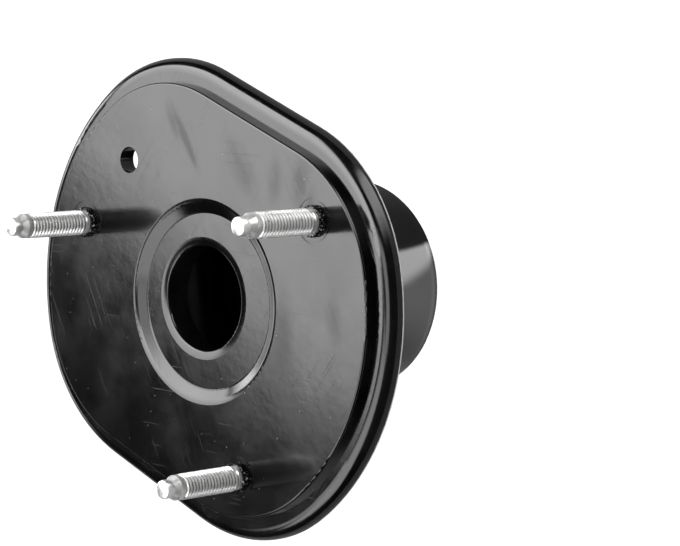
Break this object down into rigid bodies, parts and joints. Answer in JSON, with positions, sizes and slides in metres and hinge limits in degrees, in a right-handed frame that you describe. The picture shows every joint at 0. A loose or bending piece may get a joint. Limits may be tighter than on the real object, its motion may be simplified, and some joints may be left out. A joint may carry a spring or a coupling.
{
  "type": "strut mount",
  "caption": "Pressed steel strut mount with a flat two-sheet plate, a deep cup around a rubber bush, and threaded studs.",
  "frame": {"origin": "on the axis of the large hole, in the flat top face that meets the suspension tower", "axes": "+Z along the studs, up into the tower; +X along the plate's two straight sides, towards the pair of studs"},
  "size_m": [0.1572, 0.1334, 0.1081],
  "materials": {
    "black_paint": "glossy black electrocoat on pressed steel",
    "zinc_plate": "bright zinc plate",
    "bush_rubber": "matt moulded rubber",
    "sleeve_steel": "turned steel, lightly oiled"
  },
  "bodies": {
    "root": {"top_plate": "black_paint", "lower_housing": "black_paint", "stud_1": "zinc_plate", "stud_2": "zinc_plate", "stud_3": "zinc_plate", "rubber_bush": "bush_rubber", "rod_sleeve": "sleeve_steel"}
  },
  "joints": []
}
